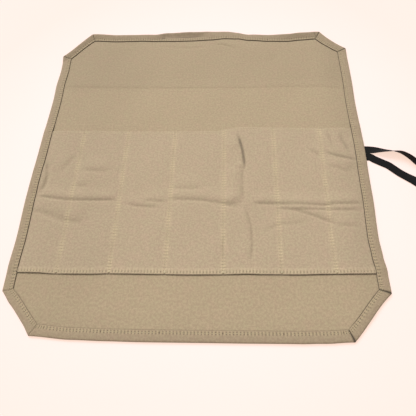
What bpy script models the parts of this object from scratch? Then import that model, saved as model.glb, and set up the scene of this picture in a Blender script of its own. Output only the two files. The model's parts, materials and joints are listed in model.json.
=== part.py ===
"""Canvas carving tool roll, laid open and flat.

A back panel with seven sewn pockets, edged all round with folded binding, and a tie tape sewn under one edge.
The cloth is modelled in cells, divided where it folds and rolls: seven columns between the pocket seams, each
with a middle panel, a top flap and a bottom flap. The flaps fold over the pockets, and then the columns roll
up from the left to the side with the tie.

Metres, +Z up. The origin is under the middle of the cloth, on the surface that it lies on. +X points to the
side with the tie, and +Y to the top flap.
"""

from math import radians, sqrt, tan

import bpy
from mathutils import Matrix, Vector

# The cut of the cloth.
WIDTH = 0.420
HEIGHT = 0.447
TOP_CORNER_CUT = 0.0385
BOTTOM_CORNER_CUT = 0.0445

# Where it is sewn and folded: X of the pocket seams, and Y of everything that runs across.
SEAMS = (-0.152, -0.092, -0.030, 0.034, 0.097, 0.156)
POCKET_MOUTH = 0.039
POCKET_FOOT = -0.157
TOP_FOLD = 0.110
BOTTOM_FOLD = -0.1595

# Layers, from the surface up.
CANVAS = 0.0007
POCKET_CANVAS = 0.0006
BINDING_CLOTH = 0.0005
BINDING_WIDTH = 0.012
CLEAR = 0.0003
PANEL_LOW = BINDING_CLOTH + CLEAR
PANEL_HIGH = PANEL_LOW + CANVAS
POCKET_LOW = PANEL_HIGH + CLEAR
POCKET_HIGH = POCKET_LOW + POCKET_CANVAS
EDGE_TUCK = BINDING_CLOTH + CLEAR  # how far the cloth's edge stands back inside its binding

# How it folds. A flap turns about a line high enough to lie on the pockets and the side bindings, and a column
# about the top of the back panel. The degrees at each seam when rolled run from the tie side to the far side.
FOLD_AXIS_HEIGHT = 0.00295
ROLL_AXIS_HEIGHT = PANEL_HIGH
ROLL_DEGREES = (60, 63, 66, 72, 78, 80)

# The tie: one tape folded at its middle, so that two tails leave the edge side by side.
TAPE_WIDTH = 0.010
TAPE_THICK = 0.0006
TIE_CENTRE = 0.0
TIE_SPLIT = 0.0008
TIE_LIFT = 0.00005
TIE_INNER_END = 0.186
TIE_ROOT = 0.0022  # length of the folded end, where the two halves are still one
TIE_ROOM = 0.0012  # how far the notch over the tie is wider and deeper than the tape
COIL_OUTER = 0.0325
COIL_INNER = 0.0215
UPPER_COIL = (0.306, 0.000)
LOWER_COIL = (0.303, -0.072)

# Each tail's way from the edge to its coil: X, Y, height of the tape's middle, and its turn about its own
# length in degrees, 0 flat and 90 or -90 standing on its edge.
UPPER_TAIL = (
    (0.2108, 0.0052, 0.0006, 0),
    (0.2140, 0.0050, 0.0006, 0),
    (0.2200, 0.0042, 0.0014, -9),
    (0.2270, 0.0028, 0.0029, -27),
    (0.2340, 0.0014, 0.0041, -42),
    (0.2400, 0.0006, 0.0047, -51),
    (0.2450, -0.0004, 0.0050, -60),
    (0.2500, -0.0020, 0.0052, -68),
    (0.2550, -0.0054, 0.0053, -75),
    (0.2600, -0.0102, 0.0054, -81),
    (0.2645, -0.0160, 0.0055, -86),
    (0.2690, -0.0205, 0.0055, -90),
    (0.2745, -0.0237, 0.0055, -90),
    (0.2802, -0.0263, 0.0055, -90),
    (0.2845, -0.0287, 0.0055, -90),
)
LOWER_TAIL = (
    (0.2108, -0.0056, 0.0006, 0),
    (0.2138, -0.0059, 0.0006, 0),
    (0.2185, -0.0094, 0.0006, 0),
    (0.2275, -0.0148, 0.0006, 0),
    (0.2330, -0.0180, 0.0006, 0),
    (0.2370, -0.0216, 0.0006, 0),
    (0.2450, -0.0293, 0.0006, 0),
    (0.2530, -0.0356, 0.0009, 2),
    (0.2605, -0.0418, 0.0019, 15),
    (0.2655, -0.0484, 0.0044, 50),
    (0.2680, -0.0560, 0.0054, 80),
    (0.2688, -0.0630, 0.0055, 90),
)
TAIL_STEPS = 6  # curve points for each stretch of a tail's way
CUT_PAST = 0.005  # how far a cutter runs past the open sides of what it cuts

RIGHT = WIDTH / 2
TOP = HEIGHT / 2
COLUMN_EDGES = (-RIGHT, *SEAMS, RIGHT)
COLUMNS = range(1, 8)
FOLDED_TOP = 2 * FOLD_AXIS_HEIGHT  # how high a folded flap reaches


def clear_scene():
    for obj in list(bpy.data.objects):
        bpy.data.objects.remove(obj)


def new_collection(name):
    group = bpy.data.collections.new(name)
    bpy.context.scene.collection.children.link(group)
    return group


def fabric(name, colour, roughness):
    made = bpy.data.materials.new(name)
    made.use_nodes = True
    shader = made.node_tree.nodes["Principled BSDF"]
    shader.inputs["Base Color"].default_value = (*colour, 1.0)
    shader.inputs["Roughness"].default_value = roughness
    shader.inputs["Metallic"].default_value = 0.0
    return made


def as_mesh(curve_obj, group):
    """The curve's solid as a welded mesh object of the same name, in place of the curve."""
    bpy.context.view_layer.update()
    name = curve_obj.name
    data = curve_obj.data
    graph = bpy.context.evaluated_depsgraph_get()
    mesh = bpy.data.meshes.new_from_object(curve_obj.evaluated_get(graph))
    place = curve_obj.matrix_world.copy()
    bpy.data.objects.remove(curve_obj)
    bpy.data.curves.remove(data)
    obj = bpy.data.objects.new(name, mesh)
    obj.matrix_world = place
    group.objects.link(obj)
    weld = obj.modifiers.new("weld", "WELD")
    weld.merge_threshold = 0.00001
    return obj


def plate(name, outline, low, high, group):
    """A flat piece: its plan outline, filled and thickened between two heights."""
    curve = bpy.data.curves.new(name, "CURVE")
    curve.dimensions = "2D"
    curve.fill_mode = "BOTH"
    curve.extrude = (high - low) / 2
    line = curve.splines.new("POLY")
    line.points.add(len(outline) - 1)
    for point, (x, y) in zip(line.points, outline):
        point.co = (x, y, 0.0, 1.0)
    line.use_cyclic_u = True
    obj = bpy.data.objects.new(name, curve)
    obj.location.z = (low + high) / 2
    group.objects.link(obj)
    return as_mesh(obj, group)


def cut(obj, name, outline, low, high):
    """Cuts a flat-sided hole from a piece."""
    tool = plate(name, outline, low, high, cutters)
    tool.hide_render = True
    tool.display_type = "WIRE"
    difference = obj.modifiers.new(name, "BOOLEAN")
    difference.operation = "DIFFERENCE"
    difference.object = tool


def hang(obj, hinge, look, own_origin=False):
    """Puts a piece on a hinge empty, with its origin there too or left in place, and gives it its material."""
    pivot = hinge_points[hinge.name]
    if own_origin:
        obj.location -= pivot
    else:
        obj.data.transform(Matrix.Translation(obj.location - pivot))
        obj.location = (0, 0, 0)
    obj.parent = hinge
    obj.data.materials.clear()
    obj.data.materials.append(look)


def add_hinge(name, point, parent):
    """An empty on a fold's axis, which carries everything on the moving side."""
    empty = bpy.data.objects.new(name, None)
    empty.empty_display_size = 0.01
    parts.objects.link(empty)
    hinge_points[name] = Vector(point)
    empty.parent = parent
    empty.location = hinge_points[name] - (hinge_points[parent.name] if parent else Vector())
    return empty


def seam_relief(seam, top):
    """How far a layer that reaches up to top stands back from a seam, to clear its neighbour when rolled."""
    bend = radians(ROLL_DEGREES[len(SEAMS) - 1 - seam])
    return max(top - ROLL_AXIS_HEIGHT, 0.0) * tan(bend / 2) + CLEAR / 2


def column_sides(column, top, edge_tuck):
    """X of the two sides of a layer in a column: back from each seam, or from the cloth's edge."""
    left = COLUMN_EDGES[column - 1]
    left += edge_tuck if column == 1 else seam_relief(column - 2, top)
    right = COLUMN_EDGES[column]
    right -= edge_tuck if column == 7 else seam_relief(column - 1, top)
    return left, right


def flap_outline(column, fold, edge, corner_cut, inset=0.0):
    """A flap's plan from its fold to the cloth's edge, set in from the outer edges by inset."""
    left, right = column_sides(column, FOLDED_TOP, inset)
    way = 1 if edge > fold else -1
    start = fold + way * CLEAR / 2
    end = edge - way * inset
    bevel = corner_cut - inset * (2 - sqrt(2))
    if column == 1:
        return [(left, start), (right, start), (right, end), (left + bevel, end), (left, end - way * bevel)]
    if column == 7:
        return [(left, start), (right, start), (right, end - way * bevel), (right - bevel, end), (left, end)]
    return [(left, start), (right, start), (right, end), (left, end)]


def band_outline(column, fold, edge, corner_cut):
    """The plan of the binding on a flap's outer edges, mitred where it turns."""
    left, right = column_sides(column, FOLDED_TOP, 0.0)
    way = 1 if edge > fold else -1
    start = fold + way * CLEAR / 2
    inner = edge - way * BINDING_WIDTH
    turn = corner_cut + BINDING_WIDTH * (sqrt(2) - 1)
    if column == 1:
        side = left + BINDING_WIDTH
        return [
            (left, start),
            (side, start),
            (side, edge - way * turn),
            (left + turn, inner),
            (right, inner),
            (right, edge),
            (left + corner_cut, edge),
            (left, edge - way * corner_cut),
        ]
    if column == 7:
        side = right - BINDING_WIDTH
        return [
            (right, start),
            (side, start),
            (side, edge - way * turn),
            (right - turn, inner),
            (left, inner),
            (left, edge),
            (right - corner_cut, edge),
            (right, edge - way * corner_cut),
        ]
    return [(left, inner), (right, inner), (right, edge), (left, edge)]


def stretched(outline, by, column, way):
    """A cutter's plan: past the piece wherever the piece is open, and true at its closed outer edges."""
    left, right = column_sides(column, FOLDED_TOP, 0.0)
    moved = []
    for x, y in outline:
        if column > 1 and abs(x - left) < 1e-6:
            x -= by
        if column < 7 and abs(x - right) < 1e-6:
            x += by
        moved.append((x, y))
    low_side = [index for index, (x, y) in enumerate(moved) if y * way == min(v * way for _, v in moved)]
    for index in low_side:
        moved[index] = (moved[index][0], moved[index][1] - way * by)
    return moved


def make_flap(kind, column, hinge, fold, edge, corner_cut):
    """One cell of a flap, and the binding on its outer edge."""
    way = 1 if edge > fold else -1
    cloth = plate(
        f"{kind}_flap_{column}",
        flap_outline(column, fold, edge, corner_cut, EDGE_TUCK),
        PANEL_LOW,
        PANEL_HIGH,
        parts,
    )
    hang(cloth, hinge, canvas)
    band = plate(
        f"{kind}_binding_{column}",
        band_outline(column, fold, edge, corner_cut),
        0.0,
        PANEL_HIGH + CLEAR + BINDING_CLOTH,
        parts,
    )
    slot = flap_outline(column, fold, edge, corner_cut, BINDING_CLOTH)
    cut(
        band,
        f"{kind}_binding_slot_{column}",
        stretched(slot, CUT_PAST, column, way),
        BINDING_CLOTH,
        PANEL_HIGH + CLEAR,
    )
    hang(band, hinge, binding)


def make_column(column, hinge):
    """The middle cell of a column: the back panel, and the pocket front sewn over it."""
    low = BOTTOM_FOLD + CLEAR / 2
    high = TOP_FOLD - CLEAR / 2
    left, right = column_sides(column, PANEL_HIGH, EDGE_TUCK)
    back = [(left, low), (right, low), (right, high), (left, high)]
    hang(plate(f"back_panel_{column}", back, PANEL_LOW, PANEL_HIGH, parts), hinge, canvas)
    left, right = column_sides(column, POCKET_HIGH, EDGE_TUCK)
    front = [(left, POCKET_FOOT), (right, POCKET_FOOT), (right, POCKET_MOUTH), (left, POCKET_MOUTH)]
    hang(plate(f"pocket_front_{column}", front, POCKET_LOW, POCKET_HIGH, parts), hinge, pocket_canvas)


def make_side_binding(name, side, hinge):
    """The binding on the left (-1) or right (1) edge of the middle cells, over both layers of canvas."""
    outer = side * RIGHT
    inner = side * (RIGHT - BINDING_WIDTH)
    low = BOTTOM_FOLD + CLEAR / 2
    high = TOP_FOLD - CLEAR / 2
    over = POCKET_HIGH + CLEAR
    outline = [(inner, low), (outer, low), (outer, high), (inner, high)]
    band = plate(name, outline, 0.0, over + BINDING_CLOTH, parts)
    wall = outer - side * BINDING_CLOTH
    open_side = inner - side * CUT_PAST
    low -= CUT_PAST
    high += CUT_PAST
    slot = [(open_side, low), (wall, low), (wall, high), (open_side, high)]
    cut(band, f"{name}_slot", slot, BINDING_CLOTH, over)
    return band


def tape_solid(name, way):
    """A flat tape along a way of (x, y, height, turn) points, smoothed through them."""
    curve = bpy.data.curves.new(name, "CURVE")
    curve.dimensions = "3D"
    curve.fill_mode = "FULL"
    curve.twist_mode = "Z_UP"
    curve.extrude = (TAPE_WIDTH - TAPE_THICK) / 2
    curve.bevel_depth = TAPE_THICK / 2
    curve.bevel_resolution = 2
    curve.use_fill_caps = True
    points = smooth_way(way)
    line = curve.splines.new("POLY")
    line.points.add(len(points) - 1)
    for point, (x, y, z, turn) in zip(line.points, points):
        point.co = (x, y, z, 1.0)
        point.tilt = radians(90 + turn)
    obj = bpy.data.objects.new(name, curve)
    parts.objects.link(obj)
    return as_mesh(obj, parts)


def smooth_way(way):
    """Points along a Catmull-Rom curve through the way's own points."""
    points = [tuple(way[0])]
    for index in range(len(way) - 1):
        before = way[max(index - 1, 0)]
        start = way[index]
        end = way[index + 1]
        after = way[min(index + 2, len(way) - 1)]
        for step in range(1, TAIL_STEPS + 1):
            t = step / TAIL_STEPS
            point = []
            for a, b, c, d in zip(before, start, end, after):
                bend = (2 * a - 5 * b + 4 * c - d) * t**2 + (3 * b - a - 3 * c + d) * t**3
                point.append(0.5 * (2 * b + (c - a) * t + bend))
            points.append(tuple(point))
    return points


def coil_solid(name, centre):
    """A coil of tape wound on its edge: a turned ring as high as the tape is wide."""
    profile = bpy.data.meshes.new(name)
    corners = [(COIL_OUTER, TAPE_WIDTH), (COIL_OUTER, 0.0), (COIL_INNER, 0.0), (COIL_INNER, TAPE_WIDTH)]
    profile.from_pydata([(r, 0.0, z) for r, z in corners], [(0, 1), (1, 2), (2, 3), (3, 0)], [])
    obj = bpy.data.objects.new(name, profile)
    parts.objects.link(obj)
    turn = obj.modifiers.new("turn", "SCREW")
    turn.steps = 32
    turn.render_steps = 32
    turn.use_merge_vertices = True
    turn.merge_threshold = 0.00001
    obj.location = (*centre, 0.0002)
    return obj


def make_tie(hinge):
    """The folded middle of the tape, sewn under the right edge, its two tails, and a coil on each."""
    upper = TIE_CENTRE + TIE_SPLIT / 2
    lower = TIE_CENTRE - TIE_SPLIT / 2
    end = RIGHT
    root = TIE_INNER_END + TIE_ROOT
    outline = [
        (TIE_INNER_END, lower - TAPE_WIDTH),
        (end, lower - TAPE_WIDTH),
        (end, lower),
        (root, lower),
        (root, upper),
        (end, upper),
        (end, upper + TAPE_WIDTH),
        (TIE_INNER_END, upper + TAPE_WIDTH),
    ]
    hang(plate("tie_fold", outline, TIE_LIFT, PANEL_LOW - CLEAR, parts), hinge, tape)
    for name, way, centre in (("upper", UPPER_TAIL, UPPER_COIL), ("lower", LOWER_TAIL, LOWER_COIL)):
        hang(tape_solid(f"tie_tail_{name}", way), hinge, tape)
        hang(coil_solid(f"tie_coil_{name}", centre), hinge, tape, own_origin=True)


clear_scene()
parts = new_collection("carving_tool_roll")
cutters = new_collection("cutters")
hinge_points = {}

canvas = fabric("canvas", (0.36, 0.31, 0.21), 0.92)
pocket_canvas = fabric("pocket_canvas", (0.37, 0.32, 0.22), 0.92)
binding = fabric("binding", (0.31, 0.27, 0.185), 0.9)
tape = fabric("tie_tape", (0.012, 0.013, 0.016), 0.75)

parent = None
for column in reversed(COLUMNS):
    seam = COLUMN_EDGES[column]
    column_hinge = add_hinge(f"column_{column}_hinge", (seam, 0.0, ROLL_AXIS_HEIGHT), parent)
    top_hinge = add_hinge(f"top_flap_{column}_hinge", (seam, TOP_FOLD, FOLD_AXIS_HEIGHT), column_hinge)
    bottom_hinge = add_hinge(f"bottom_flap_{column}_hinge", (seam, BOTTOM_FOLD, FOLD_AXIS_HEIGHT), column_hinge)
    make_column(column, column_hinge)
    make_flap("top", column, top_hinge, TOP_FOLD, TOP, TOP_CORNER_CUT)
    make_flap("bottom", column, bottom_hinge, BOTTOM_FOLD, -TOP, BOTTOM_CORNER_CUT)
    if column == 7:
        right_binding = make_side_binding("right_binding", 1, column_hinge)
        half = TAPE_WIDTH + TIE_ROOM
        inner = RIGHT - BINDING_WIDTH - TIE_ROOM
        outer = RIGHT + TIE_ROOM
        notch = [(inner, -half), (outer, -half), (outer, half), (inner, half)]
        cut(right_binding, "right_binding_tie_notch", notch, -TIE_ROOM, BINDING_CLOTH + CLEAR / 2)
        hang(right_binding, column_hinge, binding)
        make_tie(column_hinge)
    if column == 1:
        hang(make_side_binding("left_binding", -1, column_hinge), column_hinge, binding)
    parent = column_hinge
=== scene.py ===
"""Looks of the canvas carving tool roll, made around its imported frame.

Every piece of cloth keeps the frame's division: seven columns between the pocket seams, each with a middle, a
top flap and a bottom flap. One set of functions says where each place of the flat cut lies (lay) and how high
its cloth stands there (rise), so that neighbouring pieces meet without a step. Flat places are u across and v
up the cloth, in metres, from the middle of the cut.
"""
import json
from math import cos, hypot, pi, radians, sin, sqrt, tan

import bpy
import numpy as np
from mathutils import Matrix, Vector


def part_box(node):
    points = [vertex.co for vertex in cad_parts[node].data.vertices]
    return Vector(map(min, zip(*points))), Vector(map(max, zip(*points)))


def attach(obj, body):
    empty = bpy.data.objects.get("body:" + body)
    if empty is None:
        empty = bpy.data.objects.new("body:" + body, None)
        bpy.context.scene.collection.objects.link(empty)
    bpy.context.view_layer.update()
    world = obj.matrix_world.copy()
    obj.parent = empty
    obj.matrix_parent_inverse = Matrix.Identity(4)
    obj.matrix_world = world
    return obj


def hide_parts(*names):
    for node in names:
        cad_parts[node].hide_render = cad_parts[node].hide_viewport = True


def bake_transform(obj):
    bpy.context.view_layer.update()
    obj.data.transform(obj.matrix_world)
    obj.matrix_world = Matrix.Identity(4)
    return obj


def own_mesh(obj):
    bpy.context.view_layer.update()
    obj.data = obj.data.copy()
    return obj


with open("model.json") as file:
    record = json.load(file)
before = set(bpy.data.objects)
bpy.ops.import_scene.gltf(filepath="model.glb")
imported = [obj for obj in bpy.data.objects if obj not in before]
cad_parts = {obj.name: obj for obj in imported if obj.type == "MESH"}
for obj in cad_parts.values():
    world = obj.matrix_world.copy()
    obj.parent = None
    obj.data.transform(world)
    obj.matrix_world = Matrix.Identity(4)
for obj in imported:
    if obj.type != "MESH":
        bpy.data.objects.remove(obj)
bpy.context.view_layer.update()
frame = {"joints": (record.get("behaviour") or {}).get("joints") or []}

MM = 0.001

# From the frame: where the cloth ends, where it is sewn and where it folds.
JOINTS = {joint["name"]: joint for joint in frame["joints"]}
COLUMNS = range(1, 8)
SEAMS = [JOINTS[f"roll_{k}"]["pos_m"][0] for k in range(1, 7)]
SEAM_BEND = [radians(JOINTS[f"roll_{k}"]["range_deg"][1]) for k in range(1, 7)]
ROLL_AXIS = JOINTS["roll_6"]["pos_m"][2]
TOP_FOLD = JOINTS["top_fold_7"]["pos_m"][1]
BOTTOM_FOLD = JOINTS["bottom_fold_7"]["pos_m"][1]
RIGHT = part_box("right_binding")[1].x
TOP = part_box("top_binding_4")[1].y
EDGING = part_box("left_binding")[1].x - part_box("left_binding")[0].x
FOOT, MOUTH = (corner.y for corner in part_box("pocket_front_4"))
CANVAS_LOW, CANVAS_HIGH = (corner.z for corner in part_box("back_panel_4"))
POCKET_LOW, POCKET_HIGH = (corner.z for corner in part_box("pocket_front_4"))
CUT = {"top": 38.5 * MM, "bottom": 44.5 * MM}

# How the pieces are divided where the cloth bends.
SEAM_HALF = 3.5 * MM
BEND = {"top": (TOP_FOLD - 4 * MM, TOP_FOLD + 4 * MM), "bottom": (BOTTOM_FOLD + 2 * MM, BOTTOM_FOLD - 6 * MM)}

# Edging: a folded strip, its stitch row, and how far the flat cloth reaches into it.
EDGE_CLOTH = 0.42 * MM
LIP_THICK = 0.8 * MM
LIP_GAP = 0.15 * MM
EDGE_FLOOR = 0.22 * MM
STITCH_ROW = 9.3 * MM  # from the outer edge
TUCK_IN = 8.5 * MM
MITRE_REACH = 14 * MM
SIDE_TURN = 11 * MM  # how far below a corner a side's edging starts to belong to the corner's piece
PITCH = 3.6 * MM
MOUTH_ROW = 2.4 * MM  # from the pocket's mouth
FOOT_ROW = 2.8 * MM  # from its foot
STITCH = 2.2 * MM
THREAD = 0.24 * MM  # its half thickness
KNOT_THREAD = 0.46 * MM
THREAD_SIDES = 6
STITCH_RINGS = (0.0, 0.12, 0.32, 0.5, 0.68, 0.88, 1.0)  # places along a stitch
RING_SIZES = (0.35, 0.85, 1, 1, 1, 0.85, 0.35)

# The tie, as in the part's source: two tails, and the coil that each is wound into.
TAPE_WIDTH = 0.010
TAPE_THICK = 0.0006
SELVEDGE_BULGE = 0.0003
UPPER_COIL = (0.306, 0.000)
LOWER_COIL = (0.303, -0.072)
COIL_RADIUS = 0.0315  # the middle of its outer turn
COIL_STEP = 0.0039  # between turns
TAIL_LENGTH = 0.45
COIL_TURN = pi / 24  # between the points of a coil
COIL_EASE = 30  # points over which a tail eases into its coil
FOLDED_END = (0.1862, 0.192, 0.198, 0.204)  # X of the sewn end's points
# Half of the tape's section, as shares of its half width and half thickness: (across, bulge).
TAPE_SECTION = (
    (-1, 0.1), (-0.985, 0.75), (-0.93, 1), (-0.88, 0.95), (-0.8, 0.72), (-0.4, 0.78), (0, 0.8),
    (0.4, 0.78), (0.8, 0.72), (0.88, 0.95), (0.93, 1), (0.985, 0.75), (1, 0.1),
)
UPPER_TAIL = (
    (0.2108, 0.0052, 0.0006, 0),
    (0.2140, 0.0050, 0.0006, 0),
    (0.2200, 0.0042, 0.0014, -9),
    (0.2270, 0.0028, 0.0029, -27),
    (0.2340, 0.0014, 0.0041, -42),
    (0.2400, 0.0006, 0.0047, -51),
    (0.2450, -0.0004, 0.0050, -60),
    (0.2500, -0.0020, 0.0052, -68),
    (0.2550, -0.0054, 0.0053, -75),
    (0.2600, -0.0102, 0.0054, -81),
    (0.2645, -0.0160, 0.0055, -86),
    (0.2690, -0.0205, 0.0055, -90),
    (0.2745, -0.0237, 0.0055, -90),
    (0.2802, -0.0263, 0.0055, -90),
    (0.2845, -0.0287, 0.0055, -90),
)
LOWER_TAIL = (
    (0.2108, -0.0056, 0.0006, 0),
    (0.2138, -0.0059, 0.0006, 0),
    (0.2185, -0.0094, 0.0006, 0),
    (0.2275, -0.0148, 0.0006, 0),
    (0.2330, -0.0180, 0.0006, 0),
    (0.2370, -0.0216, 0.0006, 0),
    (0.2450, -0.0293, 0.0006, 0),
    (0.2530, -0.0356, 0.0009, 2),
    (0.2605, -0.0418, 0.0019, 15),
    (0.2655, -0.0484, 0.0044, 50),
    (0.2680, -0.0560, 0.0054, 80),
    (0.2688, -0.0630, 0.0055, 90),
)

# How the laid cloth has pulled out of its cut shape: (place along the edge, shift), in millimetres.
LEFT_PULL = (
    (-185, 1.6), (-150, 1.2), (-116, 2.0), (-60, 0.7), (28, 1.5), (96, 2.6), (124, 1.6), (152, 2.6),
    (185, 1.7),
)
RIGHT_PULL = (
    (-185, -1.3), (-153, -1.6), (-136, -3.4), (-116, -4.5), (-60, -2.6), (21, -1.8), (80, -2.7),
    (120, -1.8), (185, -2.3),
)
TOP_PULL = (
    (-210, -6.8), (-168, 1.5), (-126, -1.5), (-95, -1.5), (-66, -3.4), (-43, -4.3), (-15, -4.3), (12, -3.4),
    (33, -1.6), (52, -2.8), (71, -7.0), (100, -10.0), (127, -11.0), (145, -9.2), (170, -7.4), (210, -5.1),
)
BOTTOM_PULL = (
    (-210, 4.0), (-166, -1.5), (-122, -4.6), (-88, -5.3), (-50, -5.7), (33, -5.4), (111, -5.0), (134, -4.3),
    (166, -2.5), (210, 4.0),
)

# How far each cut corner has pulled out, in millimetres: (side of u, side of v), along the side and along the
# top or bottom, each at the outer edge and inside the edging, and how hollow the slanting edge has become.
CORNER_PULL = (((-1, -1), (1.2, 5.2), (3.2, 1.4), 0.8), ((1, 1), (0, 0), (3.6, 3.6), 2.0))
CORNER_DEPTH = 26

# How far the outer edge stands up along the top, in millimetres.
TOP_LIFT = (
    (-210, 2.6), (-170, 3.2), (-128, 2.4), (-97, 1.9), (-74, 2.5), (-51, 5.6), (-20, 6.8), (2, 6.0),
    (37, 3.0), (61, 0.5), (100, 1.5), (128, 3.4), (146, 3.6), (161, 3.0), (175, 2.4), (210, 1.6),
)
LIFT_DEPTH = ((-70, 9.0), (-52, 4.4), (0, 4.4), (14, 9.0))  # from the outer edge, in millimetres
# The share of it that goes outward.
LIFT_SPREAD = ((-70, 0.0), (-50, 0.35), (-6, 0.35), (10, 0.7), (60, 0.7), (90, 0.0))

# Creases and wrinkles: height and width in millimetres, then the places of the slope that each makes. Its
# ridge is on the left of the way along it and its valley on the right.
CREASES = (
    (0.26, 2.0, (-200, 121), (-129, 117), (-57, 114), (0, 113), (69, 111), (124, 112), (165, 111),
        (200, 107)),
    (0.98, 2.2, (-200, -58), (-180, -61), (-159, -64), (-136, -64.5), (-92, -64.5)),
    (0.70, 2.2, (-88, -68), (-70, -73), (-40, -75)),
    (0.70, 2.4, (-68, -65.5), (-50, -66), (-29, -68)),
    (0.90, 2.6, (-36, -63), (-20, -64), (7, -65), (29, -69), (38, -72), (54, -75)),
    (0.49, 2.4, (28, -70), (58, -70)),
    (0.98, 2.2, (64, -70), (80, -70.5), (123, -71.5), (151, -73), (164, -71), (201, -71)),
    (0.66, 2.0, (90, -76), (110, -78), (164, -79), (200, -79)),
    (0.84, 2.2, (106, -78), (123, -81), (132, -84), (154, -93), (166, -98)),
    (0.49, 2.2, (158, -98), (194, -100)),
    (3.00, 2.1, (59.5, -24), (59, -11), (57, 5), (54.5, 16), (52, 26)),
    (1.50, 3.0, (56.5, 4), (53.5, 18), (49, 36)),
    (1.12, 3.8, (57, -72), (55.5, -54), (55, -31), (57, -16)),
    (0.80, 2.0, (64, -144), (66, -120), (65, -99), (61, -83), (56, -72)),
    (0.50, 2.2, (37, -144), (33, -128), (34, -106)),
    (1.90, 3.2, (191, -2), (188, 8), (184, 18), (182, 26), (183, 35)),
    (1.05, 2.8, (172, 4), (168, 22), (165, 40)),
    (1.40, 2.3, (156, 4), (166, -1), (174, -4.5), (186, -8), (203, -12)),
    (0.84, 2.2, (136, 10), (146, 2), (156, -8)),
    (0.70, 2.8, (158, -15), (172, -21), (192, -31)),
    (0.38, 2.6, (76, -106), (100, -97), (132, -94)),
    (2.20, 3.0, (-194, -58), (-191, -44), (-190, -31), (-193, -20), (-195, -4)),
    (1.05, 4.4, (-204, -76), (-188, -79), (-170, -85), (-154, -91), (-128, -94)),
    (0.63, 3.0, (-150, -20), (-128, -22), (-106, -23)),
    (0.63, 3.0, (-34, -47), (-10, -49), (12, -49)),
    (0.63, 3.0, (-156, -43), (-130, -45)),
    (0.56, 3.0, (-176, -28), (-157, 6)),
    (0.60, 2.2, (12, 203), (30, 200), (42, 196), (52, 187)),
    (0.30, 2.4, (-70, 203), (-20, 197), (10, 199)),
    (0.30, 3.0, (104, 165), (106, 188), (101, 204)),
)
# A folded flap presses a crease of TALLEST down to PRESSED_RELIEF, and a lower one by less, in millimetres.
TALLEST = 3.2
PRESSED_RELIEF = 0.6
CREASE_SHADE = 0.085  # painted shade in a crease's crevice, for each millimetre of its depth
# Colour of the painted shade in crevices, gaps, creases, needle holes and under edges.
SHADE_COLOUR = (0.045, 0.036, 0.024)

# The pocket front's foot and mouth aren't quite straight: (u, shift of v), in millimetres.
FOOT_SAG = (
    (-210, 0.2), (-176, -0.1), (-152, -1.3), (-116, -1.1), (-94, -0.5), (-44, -0.9), (-4, -1.3), (26, -1.0),
    (60, -0.1), (78, -0.5), (112, -0.5), (146, 0.3), (180, 0.9), (210, 1.4),
)
MOUTH_SAG = ((-210, 2), (-150, 1), (-94, -1.5), (20, -3), (44, 1), (54, 3), (80, 2), (132, 0), (210, -1))

# Width of the painted shade in the gap where the edging is folded at each corner, clockwise from the left
# side's foot, in millimetres.
CORNER_GAPS = (0.2, 0.5, 0.5, 0.7, 0.95, 1.5, 1.25, 0.2)
SECOND_FOLD = 8.5 * MM  # where a second one starts, before the end of the top run

# The edging's section, inward from the outer edge, in millimetres: its upper face from the lip out, its lower
# face from the outer fold in, and the cavity that holds the cloth.
UPPER_FACE = (
    12.0, 11.85, 11.6, 11.2, 10.7, 10.2, 9.8, 9.5, 9.3, 9.0, 8.6, 8.0, 7.0, 5.8, 4.4, 3.0, 2.0, 1.3, 0.75,
    0.35, 0.1,
)
LOWER_FACE = (0.0, 0.1, 0.35, 0.75, 1.3, 3.0, 6.0, 9.3, 11.8, 12.0)
CAVITY = (12.0, 2.4, 2.4, 12.0)


# ---- where the cloth lies


def eased(points, at):
    """Values between (place in millimetres, value) points, easing from each to the next."""
    at = at / MM
    places, values = np.array(points, float).T
    index = np.clip(np.searchsorted(places, at) - 1, 0, len(places) - 2)
    t = np.clip((at - places[index]) / (places[index + 1] - places[index]), 0, 1)
    return values[index] + (values[index + 1] - values[index]) * t * t * (3 - 2 * t)


def step_up(start, end, at):
    """0 before start, 1 after end, smooth between; start may be above end. They are in millimetres."""
    t = np.clip((at / MM - start) / (end - start), 0, 1)
    return t * t * (3 - 2 * t)


def bell(away, width):
    """1 where away is 0, falling off smoothly within a few widths, which are in millimetres."""
    return np.exp(-((away / MM / width) ** 2))


def crease(u, v, height, width, *places):
    """A slope along places in millimetres, from a broad ridge on its left to a sharp valley on its right. It
    fades out at its two ends. Returns its height, and the strength of the painted shade in its crevice."""
    line = np.array(places, float) * MM
    lengths = np.hypot(*np.diff(line, axis=0).T)
    starts = np.r_[0, np.cumsum(lengths)]
    nearest = np.full(np.shape(u), np.inf)
    side = np.ones(np.shape(u))
    along = np.zeros(np.shape(u))
    for start, (a, b), length in zip(starts, zip(line, line[1:]), lengths):
        way = (b - a) / length
        t = np.clip((u - a[0]) * way[0] + (v - a[1]) * way[1], 0, length)
        away = np.hypot(u - a[0] - way[0] * t, v - a[1] - way[1] * t)
        closer = away < nearest
        nearest = np.where(closer, away, nearest)
        side = np.where(closer, np.sign((u - a[0]) * way[1] - (v - a[1]) * way[0]), side)
        along = np.where(closer, start + t, along)
    fade = min(14, starts[-1] / 2 / MM)
    ends = step_up(0, fade, along) * step_up(0, fade, starts[-1] - along)
    x = side * nearest / width
    ridge = bell(x + 2.2 * MM, np.where(x < -2.2 * MM, 3.4, 2.3))
    valley = 0.7 * bell(x - 0.7 * MM, 0.85)
    pressed = np.maximum(step_up(-24, -10, v), step_up(-88, -98, v))
    relief = np.minimum(height, TALLEST - (TALLEST - PRESSED_RELIEF) * pressed)
    # More painted shade where a folded flap presses the relief down, standing in for the lost relief.
    depth = height + 1.8 * (height - relief)
    crevice = depth * (2.2 / width) ** 2 * ends * bell(x + 0.1 * MM, 0.8)
    return relief * MM * ends * (ridge - valley), crevice


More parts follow.
